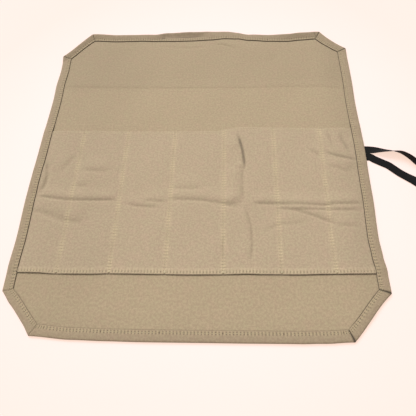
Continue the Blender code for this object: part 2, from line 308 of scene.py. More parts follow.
def rise(u, v):
    """How much higher than flat the cloth stands at a place of the cut."""
    wave = sin_wave(u, v, 118, 0.35, 0.2) + sin_wave(u, v, 83, 1.9, 1.3) + sin_wave(u, v, 61, 2.6, 4.0)
    height = 0.75 * MM + 0.12 * MM * wave
    for slope in CREASES:
        height = height + crease(u, v, *slope)[0]
    inward = np.minimum(RIGHT - np.abs(u), TOP - np.abs(v))
    height = height * (0.35 + 0.65 * step_up(8, 30, inward))
    over_tie = step_up(-34, -22, u - RIGHT) * step_up(26, 13, np.abs(v))
    return np.maximum(height, 0) + 0.75 * MM * over_tie


def top_lift(u, v):
    """How far the loose edge along the top stands up, and how far it spreads outward."""
    from_top = np.minimum(TOP - v, (RIGHT + TOP - CUT["top"] - np.abs(u) - v) / sqrt(2))
    lift = eased(TOP_LIFT, u) * np.clip(1 - from_top / (eased(LIFT_DEPTH, u) * MM), 0, 1) * MM
    spread = eased(LIFT_SPREAD, u)
    return lift * (1 - spread), 1.2 * lift * spread


def sin_wave(u, v, wavelength, heading, phase):
    """One set of parallel soft waves, from -1 to 1; wavelength in millimetres, heading in radians."""
    return np.sin((u * cos(heading) + v * sin(heading)) * 2 * pi / (wavelength * MM) + phase)


def lay(u, v, height):
    """Row-frame points of the flat places u, v, at a height above the cloth's resting surface."""
    u, v, height = np.broadcast_arrays(u, v, height)
    left = eased(LEFT_PULL, v) * step_up(-110, -RIGHT / MM, u)
    right = eased(RIGHT_PULL, v) * step_up(110, RIGHT / MM, u)
    top = eased(TOP_PULL, u) * step_up(125, 205, v)
    bottom = eased(BOTTOM_PULL, u) * step_up(-150, -205, v)
    corner_u, corner_v = corner_shift(u, v)
    lifted, spread = top_lift(u, v)
    across = u + (left + right) * MM + corner_u
    up = v + (top + bottom) * MM + corner_v + spread
    return np.stack([across, up, height + rise(u, v) + lifted], axis=-1)


def corner_shift(u, v):
    """How far the places near a cut corner have moved, across and up."""
    across, up = np.zeros(np.shape(u)), np.zeros(np.shape(u))
    for (way_u, way_v), beside, beyond, hollow in CORNER_PULL:
        cut = CUT["top" if way_v > 0 else "bottom"]
        from_side, from_end = RIGHT - way_u * u, TOP - way_v * v
        share = np.clip(0.5 + (from_side - from_end) / (2 * cut), 0, 1)
        near = step_up(CORNER_DEPTH, 0, (from_side + from_end - cut) / sqrt(2))
        bow = 4 * share * (1 - share) * hollow / sqrt(2)
        pulled_beside = eased(((0, beside[0]), (12, beside[1])), from_side)
        pulled_beyond = eased(((0, beyond[0]), (12, beyond[1])), from_end)
        across = across + way_u * near * (pulled_beyond * share - bow) * MM
        up = up + way_v * near * (pulled_beside * (1 - share) - bow) * MM
    return across, up


# ---- building meshes


def finish_mesh(name, points, faces, look, flat, grime=None, pale=None, sharp=40):
    """A shaded object of these faces, turned outward, with what its look reads: the flat places, the painted
    shade in its crevices, gaps and creases, and the painted highlight on the gathers along its stitches."""
    points = np.asarray(points, float)
    triangles = [f[:3] for f in faces if len(f) < 7] + [(f[0], *f[2:]) for f in faces if len(f) == 4]
    if np.linalg.det(points[triangles]).sum() < 0:  # six times the volume inside them
        faces = [tuple(reversed(f)) for f in faces]
    mesh = bpy.data.meshes.new(name)
    mesh.from_pydata(points.tolist(), [], faces)
    mesh.attributes.new("flat", "FLOAT_VECTOR", "POINT").data.foreach_set("vector", np.ravel(flat))
    for attribute, values in (("grime", grime), ("pale", pale)):
        if values is not None:
            mesh.attributes.new(attribute, "FLOAT", "POINT").data.foreach_set("value", np.ravel(values))
    mesh.shade_smooth()
    mesh.set_sharp_from_angle(angle=radians(sharp))
    mesh.materials.append(look)
    obj = bpy.data.objects.new(name, mesh)
    bpy.context.scene.collection.objects.link(obj)
    return obj


def grid_faces(rows, columns, start=0):
    """Quads over a grid of points numbered row by row."""
    index = start + np.arange(rows * columns).reshape(rows, columns)
    quads = np.stack([index[:-1, :-1], index[:-1, 1:], index[1:, 1:], index[1:, :-1]], axis=-1)
    return quads.reshape(-1, 4)


def shell_faces(rows, columns):
    """Faces of a closed sheet: a top grid, a bottom grid numbered after it, and the walls between."""
    count = rows * columns
    index = np.arange(count).reshape(rows, columns)
    rim = np.r_[index[0, :-1], index[:-1, -1], index[-1, :0:-1], index[:0:-1, 0]]
    after = np.roll(rim, -1)
    walls = np.stack([rim + count, after + count, after, rim], axis=-1)
    bottom = grid_faces(rows, columns, count)[:, ::-1]
    return [tuple(f) for f in np.r_[grid_faces(rows, columns), bottom, walls].tolist()]


def spaced(start, end, step):
    """Evenly spaced values from start to end, about a step apart."""
    return np.linspace(start, end, max(2, round(abs(end - start) / step) + 1))


def joined_rows(*stretches):
    """One run of values from (start, end, step) stretches that follow on from each other."""
    return np.unique(np.round(np.concatenate([spaced(*s) for s in stretches]), 7))


# ---- canvas


def puckers(along, away, reach):
    """Small gathers that a row of stitches pulls into the cloth: 1 on a gather, 0 at a needle hole."""
    return (0.5 + 0.5 * np.cos(2 * pi * along / PITCH)) * bell(away, reach)


def needle_holes(along, away, reach=0.75):
    """Painted shade in the needle holes between the stitches of a row."""
    return 0.9 * (0.5 - 0.5 * np.cos(2 * pi * along / PITCH)) ** 4 * bell(away, reach)


def seam_distance(u):
    """How far each place is from the nearest pocket seam."""
    return np.min([np.abs(u - seam) for seam in SEAMS], axis=0)


def canvas_bottom(u, v):
    """Height of the back panel's and flaps' lower face above the resting surface, drawn up at the seams."""
    sewn = step_up(2, 0, v - MOUTH) * step_up(-2, 0, v - FOOT)
    return CANVAS_LOW + 0.22 * MM * sewn * bell(seam_distance(u), 1.6)


def pocket_top(u, v):
    """Height of the pocket front's upper face: full between the seams, and sunk and gathered at each row."""
    from_seam = seam_distance(u)
    full = 0.34 * (1 - bell(from_seam, 9)) * step_up(8, 22, RIGHT - np.abs(u))
    valley = 0.34 * bell(from_seam, 1.1)
    mouth_row = 0.14 * bell(v - MOUTH + MOUTH_ROW, 0.8)
    turned = 0.25 * step_up(7.5, 5.5, v - FOOT)
    foot_row = 0.22 * bell(v - FOOT - FOOT_ROW, 0.8)
    rounding = edge_round(v - FOOT, 0.9, 0.5) + edge_round(MOUTH - v, 0.7, 0.45)
    sunk = valley + mouth_row + foot_row + rounding
    return POCKET_HIGH + (full + turned + 0.42 * gathers(u, v) - sunk) * MM


def gathers(u, v):
    """The small gathers along all the rows of the pocket front, from 0 to 1."""
    from_seam = seam_distance(u)
    along_seam = (0.80 + 0.36 * np.sin(v * 170 + u * 55)) * puckers(v, from_seam - 0.6 * MM, 2.4)
    along_mouth = (0.5 + 0.2 * np.sin(u * 150)) * puckers(u, v - MOUTH + MOUTH_ROW + 0.6 * MM, 1.5)
    along_foot = (0.8 + 0.2 * np.sin(u * 130)) * puckers(u, v - FOOT - FOOT_ROW - 0.1 * MM, 2.2)
    return np.max([along_seam, along_mouth, along_foot], axis=0)


def edge_round(inside, radius, drop):
    """How far the face falls away near a turned edge, in the unit of drop; radius is in millimetres."""
    t = np.clip(1 - inside / (radius * MM), 0, 1)
    return drop * (1 - np.sqrt(1 - t * t))


def pocket_place(u, v):
    """Flat place of a place of the pocket front, after its mouth and its foot have sagged."""
    mouth = eased(MOUTH_SAG, u) * step_up(-40, MOUTH / MM, v)
    return u, v + (mouth + foot_place(u) * step_up(-90, FOOT / MM, v)) * MM


def foot_place(u):
    """How far the pocket front's foot is above its line, in millimetres."""
    return eased(FOOT_SAG, u)


def cloth_piece(name, u, v, low_ends, high_ends, grime):
    """A closed piece of canvas over the grid u, v (rows along v). Its ends at a seam lean out below, by
    low_ends and high_ends, so that the neighbours' ends still meet when the seam bends."""
    under = u.copy()
    under[:, 0] -= low_ends
    under[:, -1] += high_ends
    upper = lay(u, v, CANVAS_HIGH).reshape(-1, 3)
    lower = lay(under, v, canvas_bottom(under, v)).reshape(-1, 3)
    points = np.r_[upper, lower]
    shade_values = np.r_[grime(u, v), np.zeros(u.shape)]
    return finish_mesh(name, points, shell_faces(*u.shape), LOOKS["canvas"], flat_places(u, under, v), shade_values)


def flat_places(upper, lower, v):
    """What a closed sheet's look reads: the flat places of its upper face, then those of its lower face."""
    across, up = np.r_[upper, lower], np.r_[v, v]
    return np.stack([across, up, np.zeros(across.shape)], axis=-1)


def seam_lean(column, side):
    """How far a cloth's lower face leans past the seam on one side of a column."""
    if column + side in (0, 8):
        return 0.0
    bend = SEAM_BEND[column - 1 if side > 0 else column - 2]
    return (ROLL_AXIS - CANVAS_LOW) * tan(bend / 2)


def cell_sides(column, back):
    """U of a column's two sides: moved back from each seam by back, or tucked into the side edging."""
    left = -RIGHT + TUCK_IN if column == 1 else SEAMS[column - 2] - back
    right = RIGHT - TUCK_IN if column == 7 else SEAMS[column - 1] - back
    return left, right


def grid(left, right, v, step=1.5 * MM):
    """Grid of flat places between two sides, which may be different in each row."""
    left, right, v = np.broadcast_arrays(left, right, v)
    count = max(3, round(np.max(right - left) / step) + 1)
    share = np.linspace(0, 1, count)
    u = left[:, None] + (right - left)[:, None] * share
    return u, np.repeat(v[:, None], count, axis=1)


def cloth_shade(u, v):
    """Painted shade on the cloth: in the crevice along the edging's inner lip, fainter along the bottom and
    at the bottom left corner, in the creases, and a painted falloff of light towards the top, the right and
    the left.
    """
    cut = np.where(v > 0, CUT["top"], CUT["bottom"])
    from_edge = np.minimum(RIGHT - np.abs(u), TOP - np.abs(v))
    from_cut = (RIGHT + TOP - cut - np.abs(u) - np.abs(v)) / sqrt(2)
    beyond = np.minimum(from_edge, from_cut) - EDGING
    bottom_edge = step_up(24, 14, v + TOP)
    faint = 1 - 0.55 * ((from_cut < from_edge) & (u < 0) & (v < 0))
    crevice = faint * (1 - 0.75 * bottom_edge) * bell(np.maximum(beyond, 0), 0.6)
    # Painted shade for light that falls off towards the top, the right and the left of the cloth.
    painted_falloff = 0.07 * (step_up(104, 124, v) + step_up(158, 192, u)) + 0.075 * step_up(-40, -150, u)
    creased = CREASE_SHADE * sum(crease(u, v, *slope)[1] for slope in CREASES)
    return np.maximum(crevice, np.minimum(painted_falloff + creased, 0.5))


def back_shade(u, v):
    """The same, with the shade under the pocket front's foot."""
    shade = 0.5 + 0.12 * np.sin(u * 90 + 1)
    return np.maximum(cloth_shade(u, v), shade * bell(v - FOOT - foot_place(u) * MM, 0.6))


def make_column_cloth(column):
    """The back panel and the pocket front of one column."""
    left, right = cell_sides(column, SEAM_HALF)
    rows = joined_rows(
        (BEND["bottom"][0], FOOT + 2 * MM, 0.8 * MM),
        (FOOT + 2 * MM, MOUTH - 10 * MM, 2.4 * MM),
        (MOUTH - 10 * MM, BEND["top"][0], 1.0 * MM),
    )
    u, v = grid(left, right, rows)
    back = cloth_piece(f"back_cloth_{column}", u, v, 0, 0, back_shade)
    rows = joined_rows(
        (FOOT, FOOT + 8 * MM, 0.55 * MM),
        (FOOT + 8 * MM, MOUTH - 6 * MM, 0.9 * MM),
        (MOUTH - 6 * MM, MOUTH, 0.55 * MM),
    )
    u, v = grid(left, right, rows, 0.6 * MM)
    front = pocket_piece(column, u, v)
    for piece, node, slot in ((back, "back_panel", "canvas"), (front, "pocket_front", "pocket_canvas")):
        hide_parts(f"{node}_{column}")
        follow_column(piece, column)


def pocket_piece(column, u, v):
    """The pocket front of a column."""
    raised = pocket_place(u, v)[1]
    top = lay(u, raised, pocket_top(u, v)).reshape(-1, 3)
    bottom = lay(u, raised, POCKET_LOW).reshape(-1, 3)
    # Painted shade along the pocket front's turned foot and in the needle holes of its rows and seams.
    lip = 0.8 * bell(v - FOOT, 0.35)
    holes = needle_holes(u, v - FOOT - FOOT_ROW) + 0.5 * needle_holes(v, seam_distance(u))
    shade_values = np.max([cloth_shade(u, v), lip, holes], axis=0)
    # Painted highlight on the crests of the gathers along the rows.
    pucker_highlight = gathers(u, v)
    return finish_mesh(
        f"pocket_cloth_{column}",
        np.r_[top, bottom],
        shell_faces(*u.shape),
        LOOKS["pocket_canvas"],
        flat_places(u, u, v),
        np.r_[shade_values, shade_values],
        np.r_[pucker_highlight, 0 * pucker_highlight],
    )


def follow_column(piece, column):
    """The first column's pieces ride on the body column_1; the others only have their transforms baked into
    their meshes.
    """
    if column == 1:
        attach(piece, "column_1")
        return
    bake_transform(piece)


def follow_flap(piece):
    """A flap piece, with its transform baked into its mesh."""
    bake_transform(piece)


def make_flap_cloth(kind, column):
    """The canvas of one flap cell, from the fold to inside the edging."""
    way = 1 if kind == "top" else -1
    start, bent = BEND[kind]
    end = way * (TOP - TUCK_IN)
    rows = joined_rows((start, bent, 0.8 * MM), (bent, end, 1.2 * MM))
    left, right = cell_sides(column, 0)
    corner = RIGHT + TOP - CUT[kind] - TUCK_IN * sqrt(2) - np.abs(rows)
    if column == 1:
        left = np.maximum(left, -corner)
    if column == 7:
        right = np.minimum(right, corner)
    u, v = grid(left, right, rows)
    leans = (seam_lean(column, -1), seam_lean(column, 1))
    piece = cloth_piece(f"{kind}_cloth_{column}", u, v, *leans, cloth_shade)
    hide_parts(f"{kind}_flap_{column}")
    follow_flap(piece)


# ---- edging


def outline_runs():
    """The cloth's eight straight edges, clockwise from the left side's foot."""
    upper, lower = CUT["top"], CUT["bottom"]
    left_half = [(-RIGHT + lower, -TOP), (-RIGHT, -TOP + lower), (-RIGHT, TOP - upper), (-RIGHT + upper, TOP)]
    corners = left_half[1:] + [(-x, y) for x, y in reversed(left_half)] + left_half[:1]
    names = ("left", "top_left", "top", "top_right", "right", "bottom_right", "bottom", "bottom_left")
    gaps = zip(CORNER_GAPS, CORNER_GAPS[1:] + CORNER_GAPS[:1])
    runs = {}
    for name, start, end, gap in zip(names, corners, corners[1:] + corners[:1], gaps):
        length = hypot(end[0] - start[0], end[1] - start[1])
        way = ((end[0] - start[0]) / length, (end[1] - start[1]) / length)
        runs[name] = {"name": name, "start": start, "way": way, "length": length, "gaps": gap}
    return runs


def on_run(run, along, inward):
    """Flat place at a distance along a run and inward from the outer edge, mitred at the run's two ends."""
    mitre = inward * tan(pi / 8)
    near_start = np.clip(1 - along / MITRE_REACH, 0, 1)
    near_end = np.clip(1 - (run["length"] - along) / MITRE_REACH, 0, 1)
    place = along + mitre * near_start - mitre * near_end
    (x, y), (dx, dy) = run["start"], run["way"]
    return x + dx * place + dy * inward, y + dy * place - dx * inward


def covered_height(v):
    """Top of what the edging's upper layer lies on: the pocket front, or the single canvas."""
    pocket = step_up(13, 0, v - MOUTH) * step_up(-3, 8, v - FOOT)
    return CANVAS_HIGH + (POCKET_HIGH - CANVAS_HIGH) * pocket


def edging_top(along, inward, cover, run_length):
    """Height of the edging's upper face: round at the outer fold and the lip, and sunk along the stitches."""
    flat_top = cover + LIP_GAP + LIP_THICK
    height = flat_top - edge_round(inward, 1.7, (flat_top - EDGE_FLOOR) / 2)
    crown = 0.36 * np.sin(np.clip(inward / STITCH_ROW, 0, 1) * pi)
    row = inward - STITCH_ROW
    drawn = 0.32 * puckers(along, row - 0.2 * MM, 1.9)
    mitre_fold = 0.55 * bell(np.minimum(along, run_length - along), 0.8)
    sunk = 0.12 * bell(row, 0.8) + edge_round(EDGING - inward, 0.5, 0.3) + mitre_fold
    return height + (crown + drawn - sunk) * MM


def edging_section(run, along):
    """Points, flat places, painted shade and painted highlight round the edging's section at each station of
    a run.
    """
    upper, lower, cavity = (np.array(x) * MM for x in (UPPER_FACE, LOWER_FACE, CAVITY))
    inward = np.r_[upper, lower, cavity]
    s = np.broadcast_to(inward, (len(along), len(inward)))
    t = np.broadcast_to(along[:, None], s.shape)
    cover = covered_height(on_run(run, t, s)[1])
    top = edging_top(t, s, cover, run["length"])
    under = EDGE_FLOOR + edge_round(s, 1.3, (cover + LIP_GAP + LIP_THICK - EDGE_FLOOR) / 2)
    first, second = len(upper), len(upper) + len(lower)
    z = np.concatenate([top[:, :first], under[:, first:]], axis=1)
    z[:, second : second + 2] = EDGE_FLOOR + EDGE_CLOTH
    z[:, second + 2 :] = cover[:, second + 2 :] + LIP_GAP
    hidden = np.r_[np.zeros(first), np.ones(len(lower) + len(cavity))]
    grime = edging_shade(run, t, s) * (1 - hidden)
    # Painted shade on the lip's edge and in the gap under the lip, fainter at the bottom left corner.
    grime[:, 0] = np.maximum(grime[:, 0], 0.4 if run["name"] == "bottom_left" else 0.85)
    grime[:, -1] = 1.0
    # Painted highlight on the crests of the gathers along the stitch row.
    pucker_highlight = puckers(t, s - STITCH_ROW - 0.4 * MM, 2.0) * (1 - hidden)
    flat = np.stack([t + 3 * hidden, s + hidden, np.zeros(s.shape)], axis=-1)
    return lay(*on_run(run, t, s), z), flat, grime, pucker_highlight


def edging_shade(run, along, inward):
    """Painted shade in the gaps at the folds of the edging's corners, and in its needle holes."""
    grime = needle_holes(along, inward - STITCH_ROW, 1.3)
    for to_end, gap in zip((along, run["length"] - along), run["gaps"]):
        width = gap * (1.25 - 0.5 * inward / EDGING)
        grime = np.maximum(grime, min(1, gap / 0.55) * 0.95 * bell(to_end, width))
    if run["name"] == "top":
        beside = run["length"] - along - SECOND_FOLD * (1 - inward / EDGING)
        grime = np.maximum(grime, 0.6 * bell(beside, 0.45))
    return grime


def tube_faces(stations, around, start):
    """Faces of a closed tube: its side quads and its two end faces."""
    index = start + np.arange(stations * around).reshape(stations, around)
    after = np.roll(index, -1, axis=1)
    sides = np.stack([index[:-1], after[:-1], after[1:], index[1:]], axis=-1).reshape(-1, 4)
    return [tuple(f) for f in (*sides.tolist(), index[0, ::-1].tolist(), index[-1].tolist())]


def edging_piece(name, stretches):
    """One piece of edging over (run name, from, to) stretches, each its own closed strip."""
    strips, faces, count = [], [], 0
    for run_name, begin, end in stretches:
        points, flat, grime, pucker_highlight = edging_section(RUNS[run_name], spaced(begin, end, 0.6 * MM))
        strips.append((points.reshape(-1, 3), flat.reshape(-1, 3), grime.ravel(), pucker_highlight.ravel()))
        faces += tube_faces(*grime.shape, count)
        count += grime.size
    points, *rest = (np.concatenate(each) for each in zip(*strips))
    piece = finish_mesh(name, points, faces, LOOKS["binding"], *rest)
    return piece


def flap_stretches(kind, column):
    """The stretches of edging on one flap cell: those past the fold's corner, and the side's up to there."""
    way = 1 if kind == "top" else -1
    edges = (-RIGHT, *SEAMS, RIGHT)
    run = RUNS[kind]
    ends = sorted((edges[k] - run["start"][0]) * way for k in (column - 1, column))
    ends = [min(max(x, 0.0), run["length"]) for x in ends]
    outer = [(kind, *ends)]
    side = {1: "left", 7: "right"}.get(column)
    if not side:
        return outer, []
    outer.append((f"{kind}_{side}", 0.0, RUNS[f"{kind}_{side}"]["length"]))
    side_run = RUNS[side]
    at_bend = (BEND[kind][0] - side_run["start"][1]) * side_run["way"][1]
    if side_run["way"][1] * way > 0:
        turn = side_run["length"] - SIDE_TURN
        outer.append((side, turn, side_run["length"]))
        return outer, [(side, at_bend, turn)]
    outer.append((side, 0.0, SIDE_TURN))
    return outer, [(side, SIDE_TURN, at_bend)]


def make_flap_edging(kind, column):
    """The edging of one flap cell, and its stitches. Past the corner it rides on the cell; the stretch of
    side edging before that only has its transform baked."""
    outer, beside = flap_stretches(kind, column)
    piece = edging_piece(f"{kind}_edging_{column}", outer)
    stitches = edging_stitches(f"{kind}_edging_thread_{column}", outer)
    for part in (piece, stitches):
        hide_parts(f"{kind}_binding_{column}")
        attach(part, f"{kind}_flap_cell_{column}")
        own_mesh(part)
    if beside:
        piece = edging_piece(f"{kind}_side_edging_{column}", beside)
        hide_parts(f"{kind}_binding_{column}")
        follow_flap(piece)
        follow_flap(edging_stitches(f"{kind}_side_thread_{column}", beside))


def make_side_edging(side, column):
    """The edging between the folds on one side, and its stitches."""
    run = RUNS[side]
    ends = sorted((y - run["start"][1]) * run["way"][1] for y in (BEND["bottom"][0], BEND["top"][0]))
    piece = edging_piece(f"{side}_edging", [(side, *ends)])
    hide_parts(f"{side}_binding")
    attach(piece, f"column_{column}")
    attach(edging_stitches(f"{side}_edging_thread", [(side, *ends)]), f"column_{column}")


# ---- thread


def thread_piece(name, starts, ends, place, surface, sides, half=THREAD):
    """Stitches between pairs of places. Each comes out of the cloth, lies on it and goes in again. place
    turns the pairs' own measure into flat places and surface gives the cloth's height there, for each of the
    sides, 1 for the upper face and -1 for the lower."""
    share = np.array(STITCH_RINGS)
    hump = np.sqrt(np.clip(1 - (2 * share - 1) ** 4, 0, 1))
    angles = np.arange(THREAD_SIDES) * 2 * pi / THREAD_SIDES
    size = np.array(RING_SIZES) * half
    all_points = []
    for side in sides:
        middle = starts[:, None] + (ends - starts)[:, None] * share[:, None]
        clear = side * (half * 0.7 * hump - half * 1.2 * (1 - hump))
        height = surface(middle[..., 0], middle[..., 1], side) + clear
        centre = lay(*place(middle[..., 0], middle[..., 1]), height)
        way = centre[:, -1:] - centre[:, :1]
        way = way / np.linalg.norm(way, axis=-1, keepdims=True)
        across = np.cross(way, (0, 0, 1))
        upward = np.cross(across, way)
        ring = np.cos(angles)[:, None] * across[:, :, None] * 1.15
        ring = ring + np.sin(angles)[:, None] * upward[:, :, None]
        all_points.append((centre[:, :, None] + ring * size[:, None, None]).reshape(-1, 3))
    flat = np.stack(np.broadcast_arrays((share * STITCH)[:, None], angles * half, 0.0), axis=-1)
    flat = flat.reshape(-1, 3)
    count = len(starts) * len(sides)
    faces = [face for k in range(count) for face in tube_faces(len(share), THREAD_SIDES, k * len(flat))]
    flats = np.tile(flat, (count, 1))
    return finish_mesh(name, np.concatenate(all_points), faces, LOOKS["thread"], flats, sharp=70)


def stitch_pairs(begin, end, across, lengthwise_first):
    """Starts and ends of the stitches in a row from begin to end, at the place across it."""
    count = max(1, int((end - begin) / PITCH))
    first = (np.ceil(begin / PITCH) + np.arange(count)) * PITCH + (PITCH - STITCH) / 2
    first = first[first + STITCH < end]
    starts, ends = (np.stack([first + more, np.full(len(first), across)], axis=-1) for more in (0, STITCH))
    return (starts, ends) if lengthwise_first else (starts[:, ::-1], ends[:, ::-1])


def edging_stitches(name, stretches):
    """The row that holds the edging, on both its faces."""
    made = []
    for index, (run_name, begin, end) in enumerate(stretches):
        run = RUNS[run_name]

        def place(along, inward, run=run):
            return on_run(run, along, inward)

        def surface(along, inward, side, run=run):
            cover = covered_height(on_run(run, along, inward)[1])
            top = edging_top(along, inward, cover, run["length"])
            return top if side > 0 else np.full(np.shape(along), EDGE_FLOOR)

        starts, ends = stitch_pairs(begin, end, STITCH_ROW, True)
        made.append(thread_piece(f"{name}_{index}", starts, ends, place, surface, (1, -1)))
    return joined(name, made)


def joined(name, pieces):
    """The pieces as one."""
    if len(pieces) > 1:
        with bpy.context.temp_override(active_object=pieces[0], selected_editable_objects=pieces):
            bpy.ops.object.join()
    pieces[0].name = name
    return pieces[0]


def pocket_surface(u, v, side):
    """Height of what a stitch of the pocket front lies on."""
    return pocket_top(u, v) if side > 0 else canvas_bottom(u, v)


def knot_piece(name, u, v):
    """Back-stitched ends at a seam's foot: a small crossed bundle of thread."""
    starts = (u, v) + np.array([(-1.3, 0.5), (-1.2, -0.6), (-0.9, 1.3), (0.2, -0.9)]) * MM
    ends = (u, v) + np.array([(1.4, 0.9), (1.3, -0.2), (0.9, 1.6), (0.1, 2.2)]) * MM
    return thread_piece(name, starts, ends, pocket_place, pocket_surface, (1,), KNOT_THREAD)


def make_pocket_stitches(column):
    """A column's rows along the pocket's mouth and foot, and the seam on its left."""
    sides = cell_sides(column, SEAM_HALF)
    rows = {
        "mouth": stitch_pairs(*sides, MOUTH - MOUTH_ROW, True),
        "foot": stitch_pairs(*sides, FOOT + FOOT_ROW, True),
    }
    if column > 1:
        seam = SEAMS[column - 2]
        rows["seam"] = stitch_pairs(FOOT + FOOT_ROW, MOUTH, seam, False)
    made = [
        thread_piece(f"{row}_thread_{column}", *pairs, pocket_place, pocket_surface, (1, -1))
        for row, pairs in rows.items()
    ]
    if column > 1:
        made.append(knot_piece(f"seam_knot_{column}", seam, FOOT + 2.4 * MM))
    follow_column(joined(f"pocket_thread_{column}", made), column)


# ---- the tie


def smooth_way(way, steps):
    """Points along a Catmull-Rom curve through the way's own points."""
    points = [np.array(way[0], float)]
    for index in range(len(way) - 1):
        a, b, c, d = (np.array(way[min(max(k, 0), len(way) - 1)], float) for k in range(index - 1, index + 3))
        for step in range(1, steps + 1):
            t = step / steps
            bend = (2 * a - 5 * b + 4 * c - d) * t**2 + (3 * b - a - 3 * c + d) * t**3
            points.append(0.5 * (2 * b + (c - a) * t + bend))
    return np.array(points)


def coil_way(start, centre, turn, length):
    """Points of a spiral of that length, wound inward and anticlockwise from near start, on its edge."""
    angle = np.arctan2(start[1] - centre[1], start[0] - centre[0])
    radius = hypot(start[0] - centre[0], start[1] - centre[1])
    points, gone = [], 0.0
    while gone < length:
        angle += COIL_TURN
        wanted = COIL_RADIUS - COIL_STEP * len(points) * COIL_TURN / (2 * pi)
        radius += (wanted - radius) * 0.12 if len(points) < COIL_EASE else wanted - radius
        points.append((centre[0] + radius * cos(angle), centre[1] + radius * sin(angle), start[2], turn))
        gone += radius * COIL_TURN
    return np.array(points)


def tape_piece(name, way):
    """A woven tape swept along (x, y, z, turn) points, with thick selvedges and cut ends."""
    line = way[:, :3]
    forward = np.gradient(line, axis=0)
    forward /= np.linalg.norm(forward, axis=1, keepdims=True)
    level = np.cross((0, 0, 1), forward)
    level /= np.linalg.norm(level, axis=1, keepdims=True)
    upward = np.cross(forward, level)
    turn = np.radians(way[:, 3])[:, None]
    wide = level * np.cos(turn) + upward * np.sin(turn)
    thick = upward * np.cos(turn) - level * np.sin(turn)
    half = TAPE_WIDTH / 2 + SELVEDGE_BULGE
    across = np.array(TAPE_SECTION)[:, 0] * half
    bulge = np.array(TAPE_SECTION)[:, 1] * TAPE_THICK / 2
    place = np.r_[across, across[::-1]]
    high = np.r_[bulge, -bulge[::-1]]
    points = line[:, None] + wide[:, None] * place[None, :, None] + thick[:, None] * high[None, :, None]
    gone = np.r_[0, np.cumsum(np.linalg.norm(np.diff(line, axis=0), axis=1))]
    flat = np.stack(np.broadcast_arrays(gone[:, None], place, np.sign(high) * MM), axis=-1)
    faces = tube_faces(len(line), len(place), 0)
    return finish_mesh(name, points.reshape(-1, 3), faces, LOOKS["tape"], flat.reshape(-1, 3))


def make_tail(which, route, centre):
    """One tail of the tie: its way from the edge, then its coil, to its whole length."""
    way = smooth_way(route, 5)
    open_length = np.linalg.norm(np.diff(way[:, :3], axis=0), axis=1).sum()
    coil = coil_way(way[-1], centre, route[-1][3], TAIL_LENGTH - open_length)
    way = np.r_[way, coil]
    tail = tape_piece(f"tie_{which}", way)
    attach(tail, "column_7")
    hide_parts(f"tie_tail_{which}", f"tie_coil_{which}")


def make_tie_fold():
    """The folded middle of the tape, sewn flat under the right edge."""
    made = []
    for side, route in ((1, UPPER_TAIL), (-1, LOWER_TAIL)):
        x, y, z = route[0][:3]
        way = [(sewn, side * (TAPE_WIDTH + 0.8 * MM) / 2, z * 0.6, 0) for sewn in FOLDED_END]
        way += [(0.2095, y, z, 0), (x + 0.5 * MM, y, z, 0)]
        made.append(tape_piece(f"tie_fold_{side}", np.array(way)))
    fold = joined("tie_folded_end", made)
    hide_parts("tie_fold")
    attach(fold, "column_7")


# ---- materials


class Look:
    """A material and the nodes of its patterns. A value is a number, a colour or another node's socket."""

    def __init__(self, name, shader_values):
        self.material = bpy.data.materials.new(name)
        self.material.use_nodes = True
        self.tree = self.material.node_tree
        self.shader = self.tree.nodes["Principled BSDF"].inputs
        for key, value in shader_values.items():
            self.shader[key].default_value = value

    def feed(self, socket, value):
        if isinstance(value, bpy.types.NodeSocket):
            self.tree.links.new(value, socket)
        else:
            socket.default_value = (*value, 1) if isinstance(value, tuple) else value

    def node(self, kind, values):
        made = self.tree.nodes.new(kind)
        for key, value in values.items():
            self.feed(made.inputs[key], value)
        return made

    def attribute(self, name, output="Fac"):
        made = self.tree.nodes.new("ShaderNodeAttribute")
        made.attribute_name = name
        return made.outputs[output]

    def math(self, operation, *values):
        made = self.node("ShaderNodeMath", dict(enumerate(values)))
        made.operation = operation
        return made.outputs[0]

    def times(self, first, second):
        return self.math("MULTIPLY", first, second)

    def plus(self, first, second):
        return self.math("ADD", first, second)

    def stripes(self, along, pitch):
        return self.math("SINE", self.times(along, 2 * pi / pitch))

    def mixed(self, share, first, second):
        """A colour between two."""
        made = self.node("ShaderNodeMix", {"Factor": share})
        made.data_type = "RGBA"
        for name, value in (("A", first), ("B", second)):
            self.feed(next(x for x in made.inputs if x.name == name and x.type == "RGBA"), value)
        return next(x for x in made.outputs if x.type == "RGBA")

    def ramp(self, value, low, high):
        """0 at low and 1 at high."""
        made = self.node("ShaderNodeMapRange", {"Value": value, "From Min": low, "From Max": high})
        made.clamp = True
        return made.outputs["Result"]

    def noise(self, where, scale, detail, roughness, low, high):
        """Clouds of noise, cut off below low and above high."""
        values = {"Vector": where, "Scale": scale, "Detail": detail, "Roughness": roughness}
        return self.ramp(self.node("ShaderNodeTexNoise", values).outputs["Fac"], low, high)

    def parts(self, place):
        return self.node("ShaderNodeSeparateXYZ", {0: place}).outputs

    def finish(self, colour, roughness, height, distance):
        """The material, with its colour, its roughness and a relief as deep as distance."""
        made = self.node("ShaderNodeBump", {"Strength": 0.7, "Distance": distance, "Height": height})
        self.feed(self.shader["Base Color"], colour)
        self.feed(self.shader["Roughness"], roughness)
        self.feed(self.shader["Normal"], made.outputs["Normal"])
        return self.material


